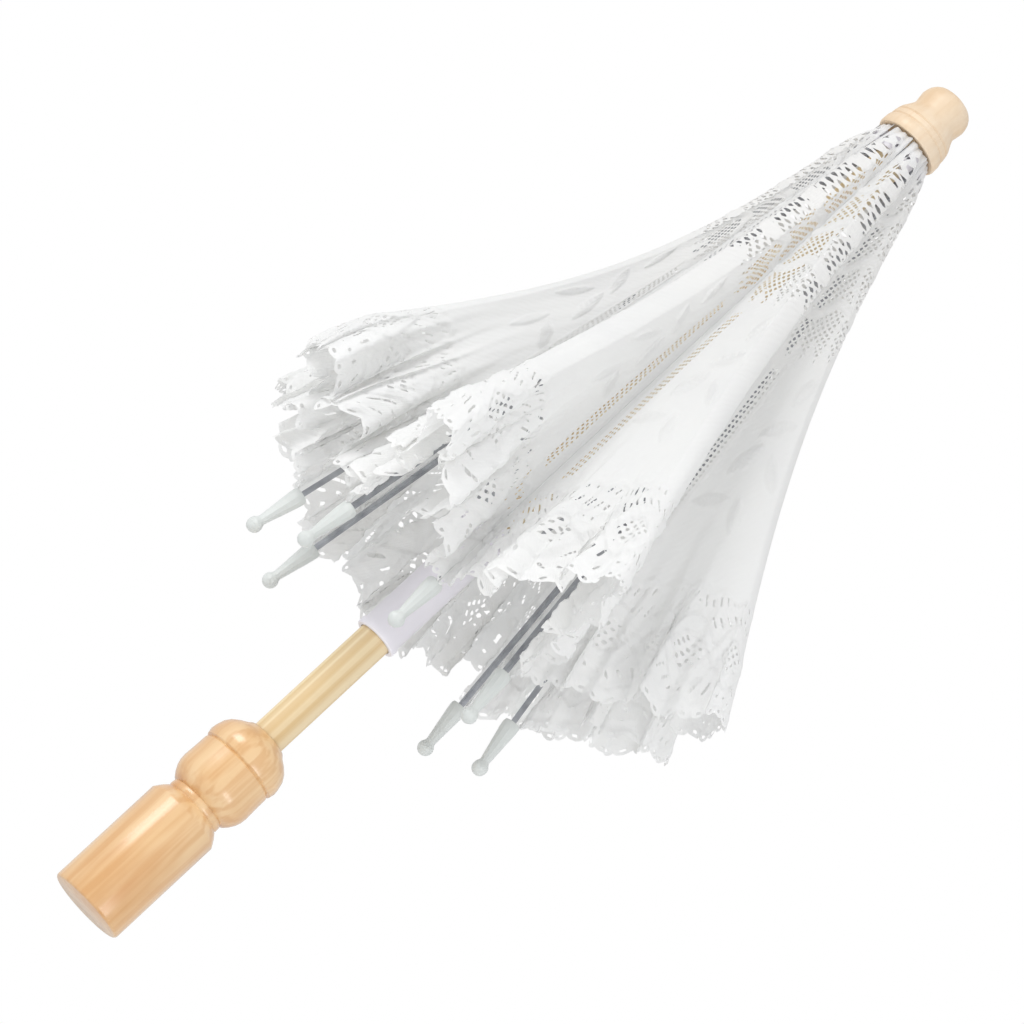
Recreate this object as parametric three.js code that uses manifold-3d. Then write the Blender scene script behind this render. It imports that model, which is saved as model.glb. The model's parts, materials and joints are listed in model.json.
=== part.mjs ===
// Lace parasol, closed. Millimetres, +Z up the shaft, the handle's end face on z = 0.
import * as THREE from "three";
import { mergeVertices } from "three/addons/utils/BufferGeometryUtils.js";
import Module from "manifold-3d";

// Driving dimensions
const RIBS = 8;
const SECTOR = (2 * Math.PI) / RIBS;
const FIRST_RIB = -Math.PI / 2; // the first rib stands on the -Y side
const GAP = 0.3; // running clearance between separate pieces

const SHAFT_R = 6;
const SHAFT_Z = [56, 390];

const GRIP_R = 13.6;
const GRIP_TOP = 45.6;
const NECK_R = 10.4;
const BULB_R = 14.2;
const BULB_Z = [48.8, 79];
const GROOVE_Z = 65.8;
const COLLAR_R = 14.6;

const CROWN_Z = 372; // height of the rib pivots
const PIVOT_R = 9.5; // distance of the rib and runner pivots from the axis
const CROWN_R = 11;
const CROWN_HALF = 2.8;
const WIRE_R = 0.4;
const SLOT_WIDTH = 2;

const FERRULE_Z = [378, 402];
const FERRULE_BASE_R = 12.5;
const FERRULE_TOP_R = 9.7;

const RIB_SPLAY = THREE.MathUtils.degToRad(10); // closed ribs lean this far from the shaft
const RIB_LENGTH = 241;
const RIB_WIDTH = 1.8;
const RIB_THICK = 1.3;
const RIB_EYE_R = 1.6;
const PIN_R = 0.45;
const HOLE_R = PIN_R + GAP;

const STRETCHER = 98; // from the rib's rivet to the runner, and from the crown to the rivet
const FORK_LENGTH = 9;
const CHEEK_IN = RIB_THICK / 2 + GAP + 0.05;
const CHEEK_OUT = CHEEK_IN + 0.7;

const SLEEVE_R = 7.4;
const SLEEVE_FOOT = 127;
const RUNNER_HALF = 2.6;

const TIP_S = [234, 255]; // along the rib from its pivot
const TIP_BALL_R = 2.8;
const TIP_NECK_R = 1.7;
const TIP_MOUTH_R = 3.1;
const TIP_BORE_R = 1.45;

const CLOTH_THICK = 0.6;
const CLOTH_LIFT = 1.8; // the cloth lies this far outside the rib's middle
const CLOTH_EDGE = 0.8; // half the space left between neighbouring panels
const CLOTH_S = [7, 231]; // along the rib, top edge to tied corner
const FOLD_TOP = { r: 14.5, z: 371.5 };
const FOLD_FOOT = { r: 104, z: 196 };
const FOLD_BOW = 6; // the outer fold hangs this far inside a straight line
const HEM_RISE = 0.07; // the hem's arch as a share of the panel's length
const CLOTH_ROWS = 7;
const CLOTH_COLS = 3;

const ROUND = 32;
const SMALL_ROUND = 10;

// Materials
const paint = (color, roughness, metalness = 0) =>
  new THREE.MeshStandardMaterial({ color, roughness, metalness });
const MAPLE = paint(0xd9a868, 0.3);
const BAMBOO = paint(0xe8d09c, 0.45);
const PALE_MAPLE = paint(0xe9d2b2, 0.5);
const PLASTIC = paint(0xf1eef2, 0.35);
const STEEL = paint(0x9fa3a8, 0.35, 1);
const LACE = paint(0xf7f6f3, 0.9);

const wasm = await Module();
wasm.setup();

// Solids and geometry
function solidOf(geometry) {
  const flat = geometry.index ? geometry.toNonIndexed() : geometry;
  const bare = new THREE.BufferGeometry();
  bare.setAttribute("position", flat.getAttribute("position"));
  const merged = mergeVertices(bare, 1e-4);
  return new wasm.Manifold(
    new wasm.Mesh({
      numProp: 3,
      vertProperties: merged.attributes.position.array,
      triVerts: new Uint32Array(merged.index.array),
    }),
  );
}

function geometryOf(solid) {
  const mesh = solid.getMesh();
  const geometry = new THREE.BufferGeometry();
  geometry.setAttribute("position", new THREE.BufferAttribute(mesh.vertProperties, 3));
  geometry.setIndex(new THREE.BufferAttribute(mesh.triVerts, 1));
  geometry.computeVertexNormals();
  return geometry;
}

const joined = (pieces) => pieces.map(solidOf).reduce((a, b) => a.add(b));
const cutBy = (solid, tools) => tools.map(solidOf).reduce((a, b) => a.subtract(b), solid);

// A profile of [radius, height] pairs turned about the Z axis.
function turned(profile, segments = ROUND) {
  const points = profile.map(([r, z]) => new THREE.Vector2(r, z));
  return new THREE.LatheGeometry(points, segments).rotateX(Math.PI / 2);
}

// A box from one corner to the other.
function block([x0, x1], [y0, y1], [z0, z1]) {
  return new THREE.BoxGeometry(x1 - x0, y1 - y0, z1 - z0).translate(
    (x0 + x1) / 2,
    (y0 + y1) / 2,
    (z0 + z1) / 2,
  );
}

// A short rod along Y, centred at (x, z).
function crossRod(radius, length, x, z = 0) {
  return new THREE.CylinderGeometry(radius, radius, length, SMALL_ROUND).translate(x, 0, z);
}

// Points of a quarter or half round edge in a profile.
function arc(centreR, centreZ, radius, from, to, steps) {
  return Array.from({ length: steps + 1 }, (_, i) => {
    const a = THREE.MathUtils.degToRad(from + ((to - from) * i) / steps);
    return [centreR + radius * Math.cos(a), centreZ + radius * Math.sin(a)];
  });
}

// Handle: a straight grip, a narrow neck and a domed bulb with one groove, bored for the shaft.
function handleGeometry() {
  const edge = 1;
  const bore = SHAFT_R + GAP;
  const [foot, top] = BULB_Z;
  return turned([
    [0, 0],
    ...arc(GRIP_R - edge, edge, edge, -90, 0, 3),
    [GRIP_R, GRIP_TOP - 4],
    [GRIP_R - 0.6, GRIP_TOP - 3],
    [GRIP_R - 1.6, GRIP_TOP - 1.5],
    [NECK_R + 0.4, GRIP_TOP - 0.1],
    [NECK_R - 0.2, GRIP_TOP + 0.3],
    [NECK_R + 0.1, GRIP_TOP + 0.9],
    [NECK_R, foot - 0.7],
    [NECK_R - 0.3, foot - 0.2],
    [NECK_R + 0.8, foot + 0.3],
    [BULB_R - 1.7, foot + 1.9],
    [BULB_R - 0.8, foot + 3.5],
    [BULB_R - 0.2, foot + 5.4],
    [BULB_R, foot + 7.5],
    [BULB_R - 0.2, GROOVE_Z - 5],
    [BULB_R - 0.3, GROOVE_Z - 0.7],
    [BULB_R - 0.8, GROOVE_Z],
    [COLLAR_R - 0.4, GROOVE_Z + 0.6],
    [COLLAR_R, GROOVE_Z + 2.5],
    [COLLAR_R - 0.2, GROOVE_Z + 4.2],
    [COLLAR_R - 0.9, GROOVE_Z + 6.8],
    [COLLAR_R - 2.2, top - 4.4],
    [COLLAR_R - 4.1, top - 2.7],
    [COLLAR_R - 6.3, top - 1.2],
    [bore + 1, top - 0.2],
    [bore, top],
    [bore, SHAFT_Z[0] - GAP],
    [0, SHAFT_Z[0] - GAP],
  ]);
}

function shaftGeometry() {
  const chamfer = 0.6;
  return turned([
    [0, SHAFT_Z[0]],
    [SHAFT_R - chamfer, SHAFT_Z[0]],
    [SHAFT_R, SHAFT_Z[0] + chamfer],
    [SHAFT_R, SHAFT_Z[1] - chamfer],
    [SHAFT_R - chamfer, SHAFT_Z[1]],
    [0, SHAFT_Z[1]],
  ]);
}

// Ferrule: a flared foot with two fine grooves under a plain round cap, bored for the shaft.
function ferruleGeometry() {
  const [foot, top] = FERRULE_Z;
  const bore = SHAFT_R + GAP;
  return turned([
    [0, SHAFT_Z[1] + GAP],
    [bore, SHAFT_Z[1] + GAP],
    [bore, foot + 1.4],
    [bore + 2.4, foot + 1.4],
    [FERRULE_BASE_R - 1.6, foot],
    [FERRULE_BASE_R - 0.5, foot],
    [FERRULE_BASE_R, foot + 0.8],
    [FERRULE_BASE_R - 0.1, foot + 3.8],
    [FERRULE_BASE_R - 0.8, foot + 4.8],
    [FERRULE_BASE_R - 0.5, foot + 5.3],
    [FERRULE_BASE_R - 0.6, foot + 7],
    [FERRULE_BASE_R - 1.1, foot + 7.5],
    [FERRULE_BASE_R - 0.8, foot + 8],
    [FERRULE_BASE_R - 1.2, foot + 9.3],
    [FERRULE_BASE_R - 2, foot + 10.8],
    [FERRULE_TOP_R, foot + 12.4],
    [FERRULE_TOP_R - 0.5, foot + 13.6],
    [FERRULE_TOP_R - 0.6, foot + 14.6],
    [FERRULE_TOP_R - 0.3, foot + 16.4],
    [FERRULE_TOP_R, foot + 18.6],
    [FERRULE_TOP_R - 0.2, top - 4],
    [FERRULE_TOP_R - 0.6, top - 2.7],
    [FERRULE_TOP_R - 1.3, top - 1.5],
    [FERRULE_TOP_R - 2.2, top - 0.6],
    [FERRULE_TOP_R - 3.4, top],
    [0, top],
  ]);
}

// Eight open slots, one for each rib or stretcher.
function slots(innerR, outerR, z, half) {
  return Array.from({ length: RIBS }, (_, i) =>
    block([innerR, outerR + 2], [-SLOT_WIDTH / 2, SLOT_WIDTH / 2], [z - half, z + half]).rotateZ(
      FIRST_RIB + i * SECTOR,
    ),
  );
}

// Crown: a slotted ring with a groove round it for the wire the ribs hang on.
function crownGeometry() {
  const bore = SHAFT_R + GAP;
  const groove = PIVOT_R - WIRE_R * 2;
  const ring = turned([
    [bore, CROWN_Z - CROWN_HALF],
    [CROWN_R, CROWN_Z - CROWN_HALF],
    [CROWN_R, CROWN_Z - WIRE_R * 2],
    [groove, CROWN_Z - WIRE_R * 2],
    [groove, CROWN_Z + WIRE_R * 2],
    [CROWN_R, CROWN_Z + WIRE_R * 2],
    [CROWN_R, CROWN_Z + CROWN_HALF],
    [bore, CROWN_Z + CROWN_HALF],
    [bore, CROWN_Z - CROWN_HALF],
  ]);
  const inner = PIVOT_R - RIB_EYE_R - GAP;
  return geometryOf(cutBy(solidOf(ring), slots(inner, CROWN_R, CROWN_Z, CROWN_HALF + 1)));
}

function crownWireGeometry() {
  return new THREE.TorusGeometry(PIVOT_R, WIRE_R, 8, 40).translate(0, 0, CROWN_Z);
}

// Runner: a sleeve that slides on the shaft, with a lip at its foot and a slotted ring on top.
function runnerGeometry() {
  const bore = SHAFT_R + GAP;
  const pivotZ = CROWN_Z - 2 * STRETCHER * Math.cos(RIB_SPLAY);
  const ringFoot = pivotZ - RUNNER_HALF;
  const ringTop = pivotZ + RUNNER_HALF;
  const body = turned([
    [bore, SLEEVE_FOOT],
    [SLEEVE_R + 0.2, SLEEVE_FOOT],
    [SLEEVE_R + 0.5, SLEEVE_FOOT + 0.4],
    [SLEEVE_R + 0.5, SLEEVE_FOOT + 2.6],
    [SLEEVE_R, SLEEVE_FOOT + 3.4],
    [SLEEVE_R, ringFoot - 1],
    [CROWN_R - 0.6, ringFoot],
    [CROWN_R, ringFoot + 0.6],
    [CROWN_R, ringTop - 0.6],
    [CROWN_R - 0.6, ringTop],
    [bore, ringTop],
    [bore, SLEEVE_FOOT],
  ]);
  return geometryOf(cutBy(solidOf(body), slots(SLEEVE_R + 0.2, CROWN_R, pivotZ, RUNNER_HALF + 2)));
}

// Rib in its own frame: X along the rib from the crown pivot, Y across its thickness.
function ribGeometry() {
  const half = RIB_WIDTH / 2;
  const thick = [-RIB_THICK / 2, RIB_THICK / 2];
  const blank = joined([
    block([0, RIB_LENGTH], thick, [-half, half]),
    crossRod(RIB_EYE_R, RIB_THICK, 0),
    crossRod(RIB_EYE_R + 0.2, RIB_THICK, STRETCHER),
  ]);
  const holes = [0, STRETCHER].map((x) => crossRod(HOLE_R, RIB_THICK + 2, x));
  return geometryOf(cutBy(blank, holes));
}

// Stretcher in its own frame: a fork riveted over the rib, a flat bar and a rounded tongue.
function stretcherGeometry() {
  const half = 0.8;
  const head = 0.4;
  const cheeks = [
    [-CHEEK_OUT, -CHEEK_IN],
    [CHEEK_IN, CHEEK_OUT],
  ].flatMap((span) => {
    const middle = (span[0] + span[1]) / 2;
    return [
      block([0, FORK_LENGTH], span, [-half, half]),
      crossRod(RIB_EYE_R, CHEEK_OUT - CHEEK_IN, 0).translate(0, middle, 0),
      crossRod(PIN_R * 2, CHEEK_OUT - CHEEK_IN + head, 0).translate(
        0,
        middle + (Math.sign(middle) * head) / 2,
        0,
      ),
    ];
  });
  return geometryOf(
    joined([
      ...cheeks,
      crossRod(PIN_R, 2 * CHEEK_OUT, 0),
      block([FORK_LENGTH - 1.6, FORK_LENGTH], [-CHEEK_OUT, CHEEK_OUT], [-half, half]),
      block([FORK_LENGTH - 0.8, STRETCHER], [-RIB_THICK / 2, RIB_THICK / 2], [-half, half]),
      crossRod(PIVOT_R - SLEEVE_R - 2 * GAP - 0.3, RIB_THICK, STRETCHER),
    ]),
  );
}

// Tip in its own frame: a bored tapering body that ends in a ball.
function tipGeometry() {
  const [mouth, end] = TIP_S;
  const boreEnd = RIB_LENGTH + GAP * 2;
  return turned(
    [
      [0, boreEnd],
      [TIP_BORE_R, boreEnd],
      [TIP_BORE_R, mouth],
      [TIP_MOUTH_R - 0.3, mouth],
      [TIP_MOUTH_R, mouth + 0.8],
      [TIP_MOUTH_R - 0.1, mouth + 3],
      [TIP_NECK_R, end - 5.6],
      ...arc(0, end - TIP_BALL_R, TIP_BALL_R, -46, 90, 6),
    ],
    SMALL_ROUND,
  ).rotateY(Math.PI / 2);
}

// Canopy panels: each gore is two panels that meet at its outer fold.
function pointAt(azimuth, r, z, aside = 0) {
  const c = Math.cos(azimuth);
  const s = Math.sin(azimuth);
  return new THREE.Vector3(r * c - aside * s, r * s + aside * c, z);
}

// A point on the panel: down is 0 at the crown and 1 at the hem, out is 0 at the rib and 1 at the fold.
function panelPoint(side, down, out) {
  const along = down * (1 - HEM_RISE * 4 * out * (1 - out));
  const s = CLOTH_S[0] + (CLOTH_S[1] - CLOTH_S[0]) * along;
  const ribR = PIVOT_R + s * Math.sin(RIB_SPLAY) + CLOTH_LIFT * Math.cos(RIB_SPLAY);
  const ribZ = CROWN_Z - s * Math.cos(RIB_SPLAY) + CLOTH_LIFT * Math.sin(RIB_SPLAY);
  const foldR = FOLD_TOP.r + (FOLD_FOOT.r - FOLD_TOP.r) * along - FOLD_BOW * Math.sin(Math.PI * along);
  const foldZ = FOLD_TOP.z + (FOLD_FOOT.z - FOLD_TOP.z) * along;
  const atRib = pointAt(0, ribR, ribZ, side * CLOTH_EDGE);
  const atFold = pointAt((side * SECTOR) / 2, foldR, foldZ, -side * CLOTH_EDGE);
  return atRib.lerp(atFold, out);
}

// One panel in the frame of its rib. side is +1 for the panel anticlockwise of the rib, -1 for the other.
function panelGeometry(side) {
  const normal = new THREE.Vector3()
    .subVectors(panelPoint(side, 1, 0.5), panelPoint(side, 0, 0.5))
    .cross(new THREE.Vector3().subVectors(panelPoint(side, 0.5, 1), panelPoint(side, 0.5, 0)))
    .setLength(CLOTH_THICK / 2);
  const positions = [];
  for (const face of [1, -1]) {
    for (let row = 0; row <= CLOTH_ROWS; row++) {
      for (let col = 0; col <= CLOTH_COLS; col++) {
        const p = panelPoint(side, row / CLOTH_ROWS, col / CLOTH_COLS);
        p.addScaledVector(normal, face);
        positions.push(p.x, p.y, p.z);
      }
    }
  }
  const stride = CLOTH_COLS + 1;
  const sheet = (CLOTH_ROWS + 1) * stride;
  const id = (row, col, back = 0) => back * sheet + row * stride + col;
  const index = [];
  const quad = (a, b, c, d) => index.push(a, b, c, a, c, d);
  for (let row = 0; row < CLOTH_ROWS; row++) {
    for (let col = 0; col < CLOTH_COLS; col++) {
      quad(id(row, col), id(row + 1, col), id(row + 1, col + 1), id(row, col + 1));
      quad(id(row, col, 1), id(row, col + 1, 1), id(row + 1, col + 1, 1), id(row + 1, col, 1));
    }
    quad(id(row, 0), id(row, 0, 1), id(row + 1, 0, 1), id(row + 1, 0));
    quad(
      id(row, CLOTH_COLS),
      id(row + 1, CLOTH_COLS),
      id(row + 1, CLOTH_COLS, 1),
      id(row, CLOTH_COLS, 1),
    );
  }
  for (let col = 0; col < CLOTH_COLS; col++) {
    quad(id(0, col), id(0, col + 1), id(0, col + 1, 1), id(0, col, 1));
    quad(
      id(CLOTH_ROWS, col),
      id(CLOTH_ROWS, col, 1),
      id(CLOTH_ROWS, col + 1, 1),
      id(CLOTH_ROWS, col + 1),
    );
  }
  const geometry = new THREE.BufferGeometry();
  geometry.setAttribute("position", new THREE.Float32BufferAttribute(positions, 3));
  geometry.setIndex(index);
  geometry.computeVertexNormals();
  return geometry;
}

// Assembly
const parasol = new THREE.Group();
parasol.name = "lace_parasol";

function place(name, geometry, material, matrix = new THREE.Matrix4()) {
  const mesh = new THREE.Mesh(geometry.clone().applyMatrix4(matrix), material);
  mesh.name = name;
  parasol.add(mesh);
}

// Turns a piece built along X so that it leans by splay from straight down, at a pivot (r, z).
function hung(azimuth, r, z, splay) {
  return new THREE.Matrix4()
    .makeRotationZ(azimuth)
    .multiply(new THREE.Matrix4().makeTranslation(r, 0, z))
    .multiply(new THREE.Matrix4().makeRotationY(Math.PI / 2 - splay));
}

place("handle", handleGeometry(), MAPLE);
place("shaft", shaftGeometry(), BAMBOO);
place("ferrule", ferruleGeometry(), PALE_MAPLE);
place("crown", crownGeometry(), PLASTIC);
place("crown_wire", crownWireGeometry(), STEEL);
place("runner", runnerGeometry(), PLASTIC);

const rib = ribGeometry();
const stretcher = stretcherGeometry();
const tip = tipGeometry();
const leftPanel = panelGeometry(1);
const rightPanel = panelGeometry(-1);
const rivetR = PIVOT_R + STRETCHER * Math.sin(RIB_SPLAY);
const rivetZ = CROWN_Z - STRETCHER * Math.cos(RIB_SPLAY);

for (let i = 0; i < RIBS; i++) {
  const azimuth = FIRST_RIB + i * SECTOR;
  const atCrown = hung(azimuth, PIVOT_R, CROWN_Z, RIB_SPLAY);
  const number = i + 1;
  place(`rib_${number}`, rib, STEEL, atCrown);
  place(`rib_tip_${number}`, tip, PLASTIC, atCrown);
  place(`stretcher_${number}`, stretcher, STEEL, hung(azimuth, rivetR, rivetZ, -RIB_SPLAY));
  place(`gore_left_${number}`, leftPanel, LACE, new THREE.Matrix4().makeRotationZ(azimuth));
  place(
    `gore_right_${number}`,
    rightPanel,
    LACE,
    new THREE.Matrix4().makeRotationZ(azimuth + SECTOR),
  );
}

export default parasol;
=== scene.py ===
"""Looks for the closed lace parasol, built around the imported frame."""

import json
import math

import bpy
import numpy as np
from mathutils import Matrix, Vector


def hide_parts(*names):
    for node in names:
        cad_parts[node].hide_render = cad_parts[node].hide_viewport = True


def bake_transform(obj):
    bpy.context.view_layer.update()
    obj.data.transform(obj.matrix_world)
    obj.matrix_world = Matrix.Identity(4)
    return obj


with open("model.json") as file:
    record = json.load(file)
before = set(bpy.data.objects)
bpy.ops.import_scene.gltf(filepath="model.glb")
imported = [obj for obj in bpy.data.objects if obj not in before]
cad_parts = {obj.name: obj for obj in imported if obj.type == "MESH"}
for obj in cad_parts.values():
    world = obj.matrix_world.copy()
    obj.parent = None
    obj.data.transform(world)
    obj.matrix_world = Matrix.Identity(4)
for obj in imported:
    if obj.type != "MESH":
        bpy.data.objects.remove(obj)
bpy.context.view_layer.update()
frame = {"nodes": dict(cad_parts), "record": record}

MM = 0.001  # the canopy is worked out in mm and handed to Blender in metres

# the ribs, as the CAD has them
RIBS = 8
SECTOR = 2 * math.pi / RIBS
HALF = SECTOR / 2
FIRST_RIB = -math.pi / 2
SPLAY = math.radians(10)  # a closed rib's slope off the shaft
PIVOT_R, CROWN_Z = 9.5, 372.0  # where a rib turns: distance from the shaft's axis, and height
CLOTH_LIFT = 1.9  # the cloth's height above the rib's middle line

# the canopy
RIB_SPAN = (7.0, 234.0)  # where the cloth's edge runs along the rib, from its pivot
FOLD_TOP = (14.5, 371.5)  # radius and height of each fold's top
GATHER_R, GATHER_Z = 10.2, 377.5  # the top edge, gathered in under the ferrule

# one gore laid flat: x across from its fold, y down from its top edge
GORE_LENGTH = 206.0  # down the fold
EDGE_LENGTH = 219.0  # down beside a rib
TOP_WIDTH = 5.0  # half the gore's width at its top
HEM_WIDTH = 71.7  # how much wider than that each half is at the hem
GORE_REACH = 79.0  # half the width of the grid that the lace is cut from
GORE_SPAN = (-1.6, 225.0)  # and its top and bottom
CELL = 0.62  # and its pitch


def srgb(r, g, b):
    """A colour given as 0 to 255 display values, as linear RGBA."""
    def one(v):
        v /= 255
        return v / 12.92 if v <= 0.04045 else ((v + 0.055) / 1.055) ** 2.4

    return (one(r), one(g), one(b), 1.0)


def link(name, data):
    """A new object of that data, in the scene."""
    made = bpy.data.objects.new(name, data)
    bpy.context.scene.collection.objects.link(made)
    return made


# ---------------------------------------------------------------- materials


class Nodes:
    """Shorthand for a material's node tree."""

    def __init__(self, name):
        self.mat = bpy.data.materials.new(name)
        self.mat.use_nodes = True
        self.tree = self.mat.node_tree
        self.bsdf = self.tree.nodes["Principled BSDF"]

    def add(self, kind, links=(), **values):
        node = self.tree.nodes.new(kind)
        for key, value in values.items():
            if hasattr(node, key):
                setattr(node, key, value)
            else:
                node.inputs[key.replace("_", " ")].default_value = value
        for source, socket in links:
            self.tree.links.new(source, node.inputs[socket])
        return node

    def coords(self, scale, source="Object"):
        """Texture coordinates, scaled along each axis."""
        where = self.add("ShaderNodeTexCoord")
        mapping = self.add("ShaderNodeMapping", [(where.outputs[source], "Vector")])
        mapping.inputs["Scale"].default_value = scale
        return mapping.outputs["Vector"]

    def noise(self, scale, size, detail=4.0):
        """Noise in the object's own coordinates, size being its fineness."""
        node = self.add("ShaderNodeTexNoise", [(self.coords(scale), "Vector")])
        node.inputs["Scale"].default_value = size
        node.inputs["Detail"].default_value = detail
        return node.outputs["Fac"]

    def ramp(self, fac, *stops):
        """A colour ramp over fac, from (place, colour) pairs."""
        node = self.add("ShaderNodeValToRGB", [(fac, "Fac")])
        elements = node.color_ramp.elements
        while len(elements) < len(stops):
            elements.new(0.5)
        for element, (at, colour) in zip(elements, stops):
            element.position = at
            element.color = colour
        return node.outputs["Color"]

    def mix(self, fac, a, b, mode="MIX"):
        """Colour a towards b by fac. Each may be a value or another node's output."""
        node = self.add("ShaderNodeMix", data_type="RGBA", blend_type=mode)
        for value, index in ((fac, 0), (a, 6), (b, 7)):
            if isinstance(value, bpy.types.NodeSocket):
                self.tree.links.new(value, node.inputs[index])
            else:
                node.inputs[index].default_value = value
        return node.outputs[2]

    def span(self, fac, low, high):
        """A 0 to 1 value stretched to run from low to high."""
        node = self.add("ShaderNodeMapRange", [(fac, "Value")])
        node.inputs["To Min"].default_value = low
        node.inputs["To Max"].default_value = high
        return node.outputs["Result"]

    def bump(self, height, strength, distance):
        """Raises the shading by a height pattern."""
        node = self.add("ShaderNodeBump", [(height, "Height")])
        node.inputs["Strength"].default_value = strength
        node.inputs["Distance"].default_value = distance
        self.set("Normal", node.outputs["Normal"])

    def set(self, socket, value):
        """Gives the shader's socket a constant or another node's output."""
        if isinstance(value, bpy.types.NodeSocket):
            self.tree.links.new(value, self.bsdf.inputs[socket])
        else:
            self.bsdf.inputs[socket].default_value = value


def wood(name, light, mid, dark, along, gloss, coat, streak):
    """Wood whose grain runs along Z, and is longer the smaller along is. streak is how dark its pores are."""
    n = Nodes(name)
    figure = n.noise((1, 1, along * 4), 42, 3)
    broad = n.noise((1, 1, along), 75, 3)
    fine = n.noise((1, 1, along * 0.4), 330, 2)
    base = n.ramp(broad, (0.32, mid), (0.6, light))
    blotched = n.mix(n.ramp(figure, (0.44, (0, 0, 0, 1)), (0.68, (0.6, 0.6, 0.6, 1))), base, dark)
    pores = n.ramp(fine, (0.4, (0.5, 0.5, 0.5, 1)), (0.56, (0, 0, 0, 1)))
    faint = n.mix(1.0, pores, (streak, streak, streak, 1), "MULTIPLY")
    n.set("Base Color", n.mix(faint, blotched, dark))
    n.set("Roughness", n.span(broad, gloss, gloss + 0.12))
    n.set("Coat Weight", coat)
    n.set("Coat Roughness", 0.16)
    n.bump(broad, 0.1, 0.0003)
    return n.mat


def plastic(name, colour, tint, roughness, scatter):
    """Moulded plastic with a faint cloudiness and orange-peel surface."""
    n = Nodes(name)
    cloud = n.noise((1, 1, 1), 90, 3)
    n.set("Base Color", n.mix(n.span(cloud, 0.0, 0.7), colour, tint))
    n.set("Roughness", n.span(n.noise((1, 1, 1), 300), roughness, roughness + 0.15))
    n.set("Subsurface Weight", scatter)
    n.set("Subsurface Radius", (0.002, 0.002, 0.002))
    n.bump(n.noise((1, 1, 1), 700, 2), 0.08, 0.0002)
    return n.mat


def steel(name):
    """Drawn steel strip with fine scratches and dull spots."""
    n = Nodes(name)
    spots = n.noise((1, 1, 1), 160, 5)
    drawn = n.noise((1, 1, 0.04), 1500, 3)
    n.set("Base Color", n.ramp(spots, (0.3, srgb(150, 152, 158)), (0.7, srgb(190, 192, 196))))
    n.set("Metallic", 1.0)
    n.set("Roughness", n.span(spots, 0.28, 0.5))
    n.bump(drawn, 0.15, 0.0001)
    return n.mat


def cotton(name, light, shade, weave):
    """Cotton: a fine weave and a stitch in the cloth's flat coordinates, and a little light through it."""
    n = Nodes(name)
    tone = n.noise((1, 1, 1), 45, 4)
    fuzz = n.noise((1, 1, 1), 1600, 2)
    across = n.coords((1, 1, 1), "UV")
    warp = n.add("ShaderNodeTexWave", [(across, "Vector")], bands_direction="X")
    weft = n.add("ShaderNodeTexWave", [(across, "Vector")], bands_direction="Y")
    for wave in (warp, weft):
        wave.inputs["Scale"].default_value = weave
        wave.inputs["Distortion"].default_value = 0.6
    cloth = n.mix(0.5, warp.outputs["Fac"], weft.outputs["Fac"], "MULTIPLY")
    stitch = n.add("ShaderNodeTexWave", [(across, "Vector")], bands_direction="DIAGONAL")
    stitch.inputs["Scale"].default_value = weave / 4
    stitch.inputs["Distortion"].default_value = 7
    stitch.inputs["Detail"].default_value = 2
    stitch.inputs["Detail Scale"].default_value = 0.6
    cloth = n.mix(0.45, cloth, stitch.outputs["Fac"])
    n.set("Base Color", n.mix(n.span(tone, 0.0, 1.0), light, shade))
    n.set("Roughness", n.span(fuzz, 0.75, 0.95))
    n.set("Sheen Weight", 0.25)
    n.set("Sheen Roughness", 0.5)
    n.bump(n.mix(0.35, cloth, fuzz), 0.45, 0.0004)

    # light that falls on one face shows on the other
    glow = n.add("ShaderNodeBsdfTranslucent")
    glow.inputs["Color"].default_value = light
    both = n.add("ShaderNodeMixShader", [(n.bsdf.outputs[0], 1), (glow.outputs[0], 2)])
    both.inputs[0].default_value = 0.3
    n.tree.links.new(both.outputs[0], n.tree.nodes["Material Output"].inputs[0])
    return n.mat


# one material for each slot of the record
FINISH = {
    "maple": wood(
        "varnished_maple", srgb(236, 201, 154), srgb(226, 181, 126), srgb(205, 144, 80),
        along=0.12, gloss=0.26, coat=0.6, streak=0.8,
    ),
    "bamboo": wood(
        "streaked_shaft", srgb(243, 226, 190), srgb(236, 212, 164), srgb(204, 164, 100),
        along=0.012, gloss=0.4, coat=0.15, streak=1.0,
    ),
    "pale_maple": wood(
        "pale_maple", srgb(235, 215, 189), srgb(228, 203, 170), srgb(214, 180, 138),
        along=0.12, gloss=0.42, coat=0.1, streak=0.5,
    ),
    "plastic": plastic(
        "white_plastic", srgb(243, 240, 245), srgb(232, 228, 236), roughness=0.3, scatter=0.15
    ),
    "tip_plastic": plastic(
        "tip_plastic", srgb(222, 225, 222), srgb(206, 210, 207), roughness=0.35, scatter=0.3
    ),
    "steel": steel("drawn_steel"),
    "lace": cotton("cotton_lace", srgb(252, 252, 250), srgb(243, 243, 243), weave=900),
}


def finish_cad_nodes():
    """Gives each hard CAD node its material and smooths the faces that belong to one curve."""
    slots = {part["node"]: part["material_slot"] for part in frame["record"]["subparts"]}
    for name, node in frame["nodes"].items():
        node.data.materials.clear()
        node.data.materials.append(FINISH[slots[name]])
        split = node.data.attributes.get("custom_normal")
        if split:
            node.data.attributes.remove(split)
        node.data.polygons.foreach_set("use_smooth", [True] * len(node.data.polygons))
        weld = node.modifiers.new("weld", "WELD")
        weld.merge_threshold = 0.02 * MM
        edges = node.modifiers.new("edges", "EDGE_SPLIT")
        edges.split_angle = math.radians(34)


# ---------------------------------------------------------------- lace


def half_width(v):
    """Half the flat gore's width, from its fold to a rib."""
    return TOP_WIDTH + HEM_WIDTH * np.clip(v, 0, None)


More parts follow.
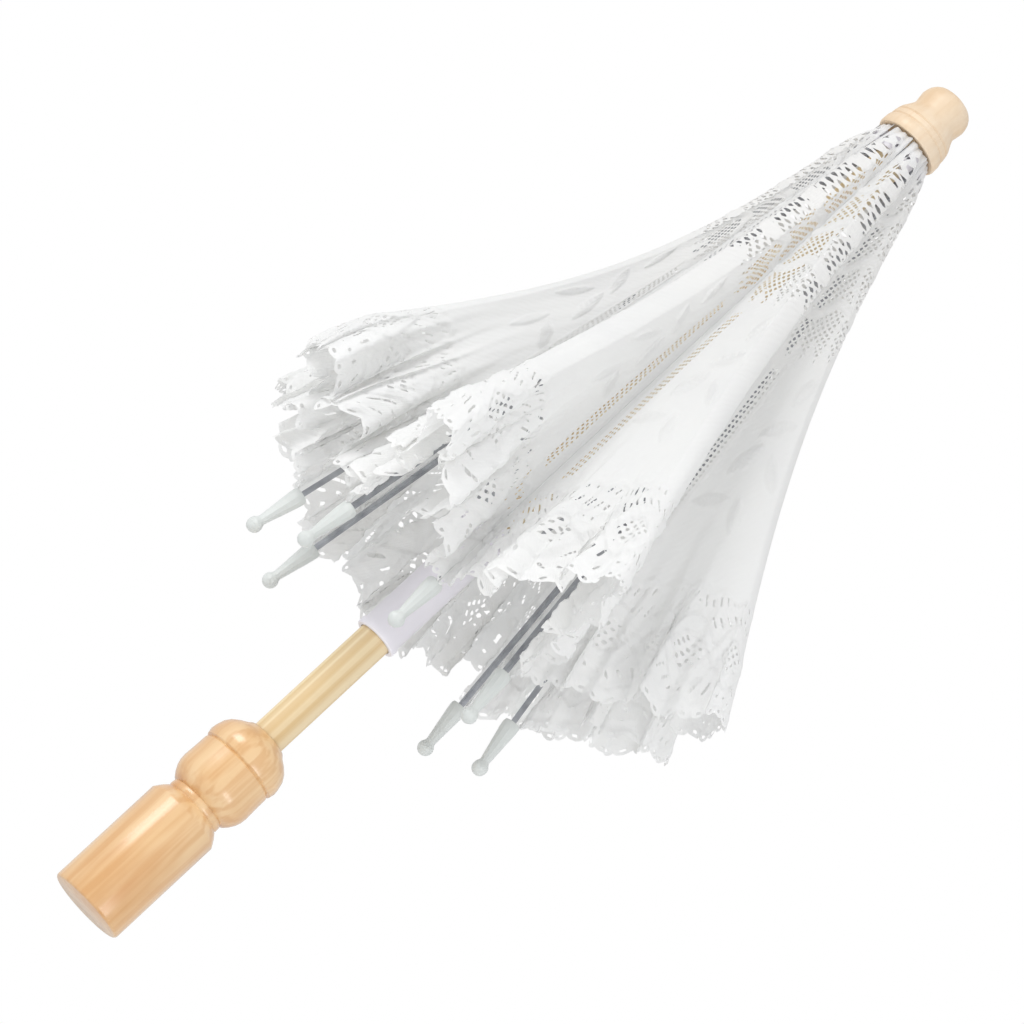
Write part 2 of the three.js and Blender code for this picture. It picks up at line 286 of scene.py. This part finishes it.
def gore_uv(x, y):
    """A flat point's place in the gore: u is -1 and 1 at the ribs and 0 at the fold, v is 1 at the hem."""
    v = y / GORE_LENGTH
    for _ in range(4):
        u = np.clip(np.abs(x) / half_width(v), 0, 1)
        v = y / (GORE_LENGTH + (EDGE_LENGTH - GORE_LENGTH) * u)
    return np.sign(x) * np.abs(x) / half_width(v), v


def hem_height(u, v):
    """Distance up from the arched hem."""
    arch = 0.12 * np.abs(u) * (1 - np.abs(u))
    return (1.0 - arch - v) * GORE_LENGTH


def line(d, width):
    """Positive within a line of that width, d being the distance to its middle."""
    return width / 2 - np.abs(d)


def repeat(value, pitch):
    """Distance to the nearest multiple of pitch."""
    return value - pitch * np.round(value / pitch)


def net(x, y, pitch, width):
    """Crossed diagonal threads."""
    a = repeat(x + y, pitch) / math.sqrt(2)
    b = repeat(x - y, pitch) / math.sqrt(2)
    return np.maximum(line(a, width), line(b, width))


def leaf(x, y, cx, cy, angle, length, width):
    """How far inside a pointed leaf, and the places along and across it."""
    c, s = math.cos(angle), math.sin(angle)
    a = (x - cx) * c + (y - cy) * s
    b = -(x - cx) * s + (y - cy) * c
    half = width / 2 * (1 - (2 * a / length) ** 2)
    return half - np.abs(b), a, b


# one spray of leaves: distance from the fold, distance down, tilt and length
SPRAY = ((8, 92, 1.1, 15), (13, 108, 0.5, 17), (10, 124, 1.9, 15),
         (22, 121, 0.9, 18), (30, 138, 0.3, 16), (19, 141, 1.6, 15))


def crown_lace(x, y, wx, wy, edge):
    """The top band: fine net crossed by three wandering tapes."""
    field = np.maximum(net(wx, wy, 2.9, 0.8), line(edge - 1.0, 2.6))
    relief = np.zeros_like(x)
    for centre in (16.0, 38.0, 58.0):
        wander = centre + 2.2 * np.sin(x / 3.1 + centre)
        field = np.maximum(field, line(y - wander, 5.0))
        relief += 0.6 * np.clip(line(y - wander, 4.4), 0, 0.7)
    spine = 1.5 + 3.4 * np.abs(np.sin(y / 9.0))
    field = np.maximum(field, line(np.abs(x) - spine - 1, 1.7))
    return field, relief


def sheer_cloth(x, y, wy, h, edge, sheer):
    """The middle band: sheer cloth with satin-stitch leaves and a ladder of drawn threads by each rib."""
    relief = np.zeros_like(x)
    for away, down, tilt, size in SPRAY:
        for cx, angle in ((-away, math.pi - tilt), (away, tilt)):
            inside, a, b = leaf(x, y, cx, down, angle, size, size * 0.36)
            stitch = 0.6 + 0.25 * np.sin(5.2 * (a + np.abs(b) * 0.8))
            relief = np.maximum(relief, np.clip(inside, 0, 0.8) * stitch)
    ladder_at = edge - 9.0
    slot = np.minimum(line(ladder_at, 5.6), np.minimum(y - 84, h - 44))
    rungs = line(repeat(wy, 2.0), 0.8)
    posts = line(repeat(ladder_at + 0.9, 1.8), 0.75)
    ladder = np.where(slot > 0, np.maximum(np.maximum(rungs, posts), 0.4 - slot), 1.0)
    relief += 0.35 * np.clip(line(np.abs(ladder_at) - 3.6, 1.6), 0, 0.6) * (slot > -1.6)
    return np.minimum(sheer, ladder), relief


def hem_lace(x, wx, h, inner):
    """The hem: two crossing tapes round eyes of net, in a combed ground with a scalloped, picot edge."""
    swing = 2 * math.pi / 27.0
    tapes = (h - (19 + 8.0 * np.sin(x * swing)), h - (19 - 8.0 * np.sin(x * swing)))
    eye = 8.0 * np.abs(np.sin(x * swing)) - np.abs(h - 19)
    slant = wx + 0.45 * h * np.sign(np.sin(x * swing / 2 + h / 14.0))
    combed = np.maximum(line(repeat(slant, 2.5), 1.8), line(repeat(h + 1.5 * np.sin(x / 4.0), 6.5), 3.0))
    field = np.where(eye > 0, net(wx, h, 3.0, 1.0), combed)
    relief = 0.3 * np.clip(line(repeat(slant, 2.5), 1.7), 0, 0.6) * (inner < 0)
    for tape in tapes:
        rails = np.maximum(line(np.abs(tape) - 2.3, 1.7), line(tape, 1.7))
        combs = np.minimum(line(tape, 6.4), line(repeat(wx, 1.9), 1.25))
        field = np.maximum(field, np.maximum(rails, combs))
        relief += 0.9 * np.clip(line(tape, 6.0), 0, 0.8)
        relief += 0.4 * np.clip(line(np.abs(tape) - 2.3, 1.5), 0, 0.5)

    # the edge: a scalloped band hung with small loops
    scallop = h - 1.5 * np.abs(np.sin(x * math.pi / 11.0)) - 0.4
    field = np.maximum(field, line(scallop - 1.6, 3.2))
    relief += 0.7 * np.clip(line(scallop - 1.6, 3.2), 0, 0.6)
    picot = 0.5 - np.abs(np.hypot(repeat(x, 3.1), scallop + 0.7) - 1.1)
    field = np.where(scallop < 0, picot, np.maximum(field, picot))

    # the tape that it starts from
    field = np.maximum(field, line(inner, 2.6))
    relief += 0.6 * np.clip(line(inner, 2.6), 0, 0.6)
    return field, relief


def lace_pattern(x, y):
    """The lace as a field, positive where there is thread or cloth, and the height of its relief."""
    u, v = gore_uv(x, y)
    h = hem_height(u, v)
    edge = (1 - np.abs(u)) * half_width(v)  # distance in from the rib

    # threads that run almost straight
    wx = x + 0.7 * np.sin(y / 5.3) + 0.5 * np.sin(y / 2.9 + x / 7.0)
    wy = y + 0.7 * np.sin(x / 4.7) + 0.5 * np.sin(x / 3.1 + y / 8.0)

    # where the bands meet: sheer is the distance below the net's toothed end, inner that above the hem's tape
    sheer = y - (72 + 3.2 * np.abs(repeat(x, 6.4)))
    inner = h - (36 + 2.4 * np.abs(np.sin(x * math.pi / 9.0)))
    crown, crown_relief = crown_lace(x, y, wx, wy, edge)
    crown = np.maximum(crown, line(sheer, 2.4))
    cloth, cloth_relief = sheer_cloth(x, y, wy, h, edge, sheer)
    hem, hem_relief = hem_lace(x, wx, h, inner)
    field = np.where(sheer < 1.2, crown, cloth)
    field = np.where(inner < 0, hem, np.maximum(field, line(inner, 2.6)))
    relief = crown_relief + cloth_relief + hem_relief
    thread_lines = 0.10 * np.sin(2 * math.pi * (x + 0.4 * y) / 1.5)
    relief += np.where((inner < 0) | (sheer < 0), thread_lines, 0.03 * thread_lines)

    # the cut edges: a stitched seam along each rib and a bound top
    seam = line(edge - 1.1, 2.6)
    field = np.maximum(field, np.minimum(seam, h - 1))
    relief += 0.4 * np.clip(seam, 0, 0.6)
    field = np.minimum(field, edge - 0.25)
    field = np.where(y < 3, np.maximum(field, line(y - 0.5, 3.4)), field)
    return field, relief


def cut_out(field, xs, ys):
    """Marching squares: the points and faces of the flat mesh where the field is positive."""
    rows, cols = field.shape
    inside = field > 0
    node_id = np.full(field.shape, -1)
    node_id[inside] = np.arange(inside.sum())
    gx, gy = np.meshgrid(xs, ys)
    points = [np.stack([gx[inside], gy[inside]], 1)]
    count = int(inside.sum())
    cross_x = inside[:, 1:] != inside[:, :-1]
    cross_y = inside[1:, :] != inside[:-1, :]
    ids = []
    for cross, axis in ((cross_x, 1), (cross_y, 0)):
        a = field[:, :-1] if axis else field[:-1, :]
        b = field[:, 1:] if axis else field[1:, :]
        t = np.clip(a[cross] / (a[cross] - b[cross]), 0.06, 0.94)
        r, c = np.nonzero(cross)
        x, y = xs[c].astype(float), ys[r].astype(float)
        if axis:
            x = x + t * (xs[c + 1] - xs[c])
        else:
            y = y + t * (ys[r + 1] - ys[r])
        made = np.full(cross.shape, -1)
        made[cross] = count + np.arange(cross.sum())
        count += int(cross.sum())
        points.append(np.stack([x, y], 1))
        ids.append(made)
    edge_x, edge_y = ids
    corners = [node_id[:-1, :-1], node_id[:-1, 1:], node_id[1:, 1:], node_id[1:, :-1]]
    edges = [edge_x[:-1, :], edge_y[:, 1:], edge_x[1:, :], edge_y[:, :-1]]
    ring = np.stack([a for pair in zip(corners, edges) for a in pair], -1).reshape(-1, 8)
    ring = ring[(ring >= 0).sum(1) >= 3]
    faces = [[int(i) for i in row if i >= 0] for row in ring]
    return np.concatenate(points), faces


def canopy_point(x, y, relief, index):
    """Where a point of the flat gore stands in the closed canopy, in metres."""
    u, v = gore_uv(x, np.maximum(y, 0))
    u = np.clip(u, -1, 1)
    fold_at = FIRST_RIB + index * SECTOR + HALF
    lean = math.cos(fold_at)  # 1 on the +X side, where the folds stand out further, and -1 on the other

    # the edge over the rib, and the fold, which bows in below the crown and droops at the hem
    s = RIB_SPAN[0] + (RIB_SPAN[1] - RIB_SPAN[0]) * v
    rib_r = PIVOT_R + s * math.sin(SPLAY) + CLOTH_LIFT * math.cos(SPLAY)
    rib_z = CROWN_Z - s * math.cos(SPLAY) + CLOTH_LIFT * math.sin(SPLAY)
    foot_r, foot_z = 100 + 5 * lean, 178 + 5 * lean - 6 * (1 - lean**2)
    bow = 13.5 - 4 * lean
    fold_r = FOLD_TOP[0] + (foot_r - FOLD_TOP[0]) * v - bow * np.sin(math.pi * np.clip(v, 0, 1))
    fold_z = FOLD_TOP[1] + (foot_z - FOLD_TOP[1]) * v
    droop = np.clip((v - 0.88) / 0.12, 0, 1.2) ** 2 * (0.6 - 0.55 * lean)
    fold_r -= 4.5 * droop
    fold_z -= 2.0 * droop

    # between them, near is 0 at the rib and 1 at the fold, which is softly rounded
    soft = 0.05 + 0.06 * v
    near = (np.sqrt(1 + soft**2) - np.sqrt(u**2 + soft**2)) / (np.sqrt(1 + soft**2) - soft)
    out = rib_r * math.cos(HALF) + (fold_r - rib_r * math.cos(HALF)) * near
    up = rib_z + (fold_z - rib_z) * near
    reach = rib_r * math.sin(HALF)
    apart = np.minimum(3.0, 0.5 * reach) * np.clip(np.abs(u) / 0.08, 0, 1)
    aside = np.sign(u) * (apart + (reach - apart) * np.abs(u))

    # the cloth hangs in soft folds that die away at the ribs and at the fold
    free = np.sin(math.pi * np.abs(u)) * np.clip(v, 0, 1)
    phase = index * 2.4 + np.where(u > 0, 1.3, 0.0)
    h = np.clip(hem_height(u, v), 0, None)
    ruffle = np.exp(-((h / 30) ** 2)) * free * (1.15 - 0.25 * lean)
    aside += 2.6 * free * np.sin(5.0 * np.abs(u) + phase + 2.2 * v)
    wave = np.abs(x) * 0.27 + 0.05 * h + phase
    aside += ruffle * (5.0 * np.sin(wave) + 2.2 * np.sin(2.7 * wave + phase) + 0.8 * np.sin(5.3 * wave))
    out += ruffle * (3.4 * np.sin(wave + 1.2) + 1.2 * np.sin(2.1 * wave + 3 * phase))
    up += ruffle * (2.6 * np.cos(0.8 * wave + phase) + 1.2 * np.sin(3.3 * wave))
    aside += 0.12 * free * np.sin(x * 0.9 + 0.22 * y + phase)
    up -= np.exp(-((h / 45) ** 2)) * free * (5 + 8 * (1 - lean**2))

    # the two halves of a fold lie against each other but never cross
    away = np.sign(u) * aside
    aside = np.sign(u) * 0.5 * (away + apart + np.sqrt((away - apart) ** 2 + 0.2 * apart))

    # the top edge gathers in under the ferrule
    top = np.clip(1 - y / 8.0, 0, 1) ** 1.5
    pleat = 1 + 0.05 * np.sin(u * 9 + index)
    out += top * (GATHER_R * pleat - out)
    up += top * (GATHER_Z - up)
    aside += top * (GATHER_R * math.sin(HALF) * u * pleat - aside)

    # relief stands off the cloth's outer face
    side = np.clip(u / 0.06, -1, 1)
    aside += relief * 0.95 * side
    out += relief * 0.3
    c, s = math.cos(fold_at), math.sin(fold_at)
    return np.stack([out * c - aside * s, out * s + aside * c, up], 1) * MM


def build_gores():
    """The eight gores, each one sheet of lace from rib to rib."""
    xs = np.arange(-GORE_REACH, GORE_REACH + 0.01, CELL)
    ys = np.arange(*GORE_SPAN, CELL)
    gx, gy = np.meshgrid(xs, ys)
    field, _ = lace_pattern(gx, gy)
    flat, faces = cut_out(field, xs, ys)
    _, relief = lace_pattern(flat[:, 0], flat[:, 1])
    uv = flat * MM
    corners = np.fromiter((i for face in faces for i in face), int)
    for index in range(RIBS):
        number = index + 1
        points = canopy_point(flat[:, 0], flat[:, 1], relief, index)
        mesh = bpy.data.meshes.new(f"gore_{number}")
        mesh.from_pydata(points.tolist(), [], faces)
        layer = mesh.uv_layers.new(name="flat")
        layer.data.foreach_set("uv", uv[corners].ravel())
        mesh.polygons.foreach_set("use_smooth", [True] * len(mesh.polygons))
        mesh.materials.append(FINISH["lace"])
        gore = link(f"gore_{number}", mesh)
        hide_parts(f"gore_left_{number}", f"gore_right_{number}")
        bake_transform(gore)


# ---------------------------------------------------------------- camera, lights, world and floor


AIM = Vector((0, 0, 0.1896))  # the point on the shaft's axis in the middle of the view


def build_camera():
    """The photograph's view: from the handle's side of square, with the shaft running up to the right."""
    distance = 1.3897
    tilt = math.radians(-16)
    heading = math.radians(42.8)
    back = Vector((0, -math.cos(tilt), math.sin(tilt)))
    up = (Vector((0, 0, 1)) - back * back.z).normalized()
    side = up.cross(back)
    x = up * math.cos(heading) + side * math.sin(heading)
    y = up * math.sin(heading) - side * math.cos(heading)
    data = bpy.data.cameras.new("camera")
    data.lens = 150
    data.sensor_width = 36
    data.clip_start, data.clip_end = 0.05, 100
    camera = link("camera", data)
    basis = Matrix((x, y, back)).transposed().to_4x4()
    camera.matrix_world = Matrix.Translation(AIM + back * distance) @ basis
    bpy.context.scene.camera = camera


def area_light(name, where, size, power):
    """A square soft light that faces the parasol."""
    data = bpy.data.lights.new(name, "AREA")
    data.size = size
    data.energy = power
    lamp = link(name, data)
    lamp.location = where
    lamp.rotation_mode = "QUATERNION"
    lamp.rotation_quaternion = (AIM - Vector(where)).to_track_quat("-Z", "Y")


def build_world():
    """A white backdrop to the camera, and a softer, slightly cool light to everything else."""
    world = bpy.data.worlds.new("studio")
    world.use_nodes = True
    tree = world.node_tree
    backdrop = tree.nodes["Background"]
    backdrop.inputs["Color"].default_value = (1, 1, 1, 1)
    backdrop.inputs["Strength"].default_value = 1.0
    soft = tree.nodes.new("ShaderNodeBackground")
    soft.inputs["Color"].default_value = (0.97, 0.98, 1, 1)
    soft.inputs["Strength"].default_value = 0.8
    path = tree.nodes.new("ShaderNodeLightPath")
    mix = tree.nodes.new("ShaderNodeMixShader")
    tree.links.new(path.outputs["Is Camera Ray"], mix.inputs[0])
    tree.links.new(soft.outputs[0], mix.inputs[1])
    tree.links.new(backdrop.outputs[0], mix.inputs[2])
    tree.links.new(mix.outputs[0], tree.nodes["World Output"].inputs[0])
    bpy.context.scene.world = world
    bpy.context.scene.view_settings.view_transform = "Standard"


def build_floor():
    """A plain pale floor, well below the parasol."""
    reach, level = 12, -0.45
    n = Nodes("floor")
    pale, paler = (0.86, 0.86, 0.86, 1), (0.88, 0.88, 0.88, 1)
    n.set("Base Color", n.ramp(n.noise((1, 1, 1), 3), (0.3, pale), (0.7, paler)))
    n.set("Roughness", 0.9)
    mesh = bpy.data.meshes.new("floor")
    square = [(a * reach, b * reach, level) for a, b in ((-1, -1), (1, -1), (1, 1), (-1, 1))]
    mesh.from_pydata(square, [], [(0, 1, 2, 3)])
    mesh.materials.append(n.mat)
    link("floor", mesh)


build_camera()
area_light("key", (-1.3, -0.9, 0.9), size=0.8, power=13)
area_light("fill", (1.1, -1.2, -0.5), size=1.0, power=15)
build_world()
build_floor()
finish_cad_nodes()
build_gores()
